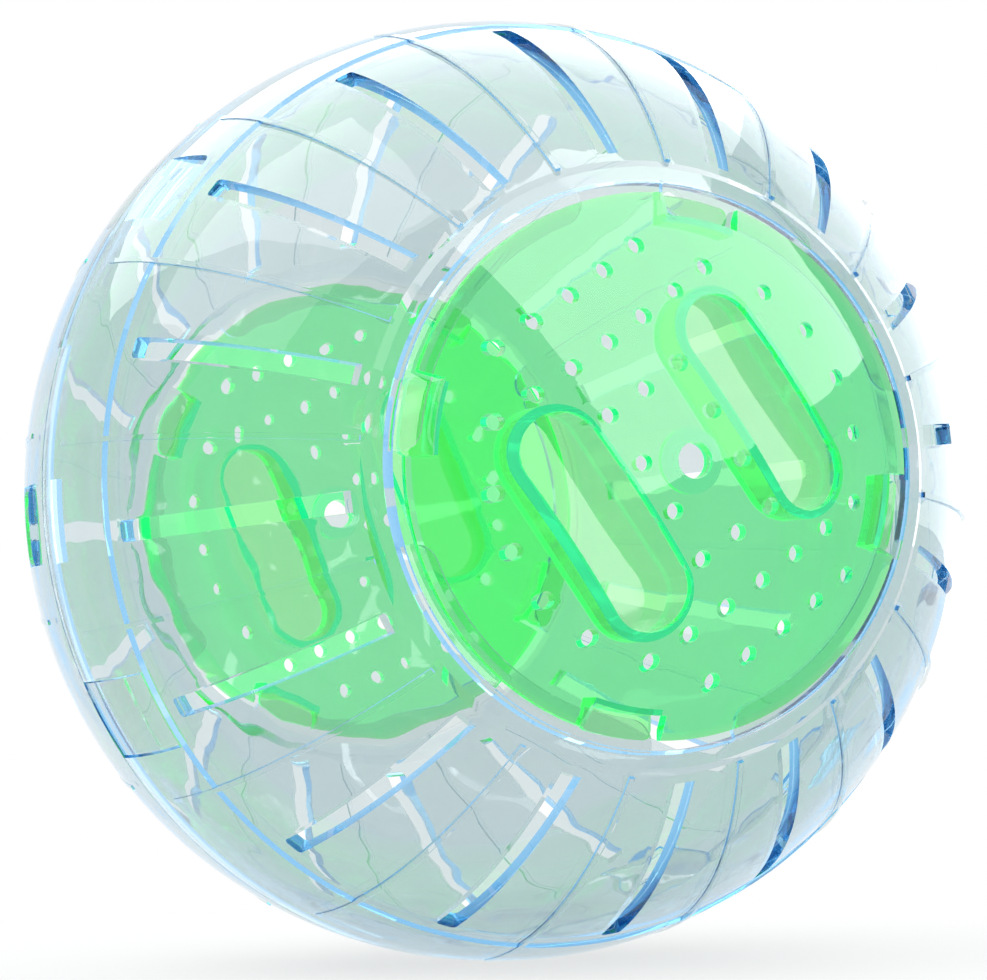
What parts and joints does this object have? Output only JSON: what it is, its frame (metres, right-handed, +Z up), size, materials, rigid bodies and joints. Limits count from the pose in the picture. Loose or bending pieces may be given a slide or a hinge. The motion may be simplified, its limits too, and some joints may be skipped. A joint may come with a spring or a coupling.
{
  "type": "hamster ball",
  "caption": "Clear exercise ball of two snap-together slotted half shells, with a twist-in vented door with finger pockets at each end of its axis.",
  "frame": {"origin": "centre of the ball", "axes": "-Y along the ball's axis out through the front door, +Z up, +X to the right of a viewer who faces the front door"},
  "size_m": [0.14, 0.14, 0.14],
  "materials": {
    "front_shell": "clear, polished",
    "rear_shell": "clear, polished",
    "front_door": "translucent green, polished",
    "rear_door": "translucent green, polished"
  },
  "bodies": {
    "shell": {"front_half": "front_shell", "rear_half": "rear_shell"},
    "front_door": {"front_door": "front_door"},
    "rear_door": {"rear_door": "rear_door"}
  },
  "joints": [
    {"name": "front_door_twist", "type": "hinge", "parent": "shell", "child": "front_door", "pos_m": [0, -0.058, 0], "axis": [0, -1, 0], "range_deg": [0, 17.4]},
    {"name": "rear_door_twist", "type": "hinge", "parent": "shell", "child": "rear_door", "pos_m": [0, 0.058, 0], "axis": [0, 1, 0], "range_deg": [0, 17.4]}
  ]
}
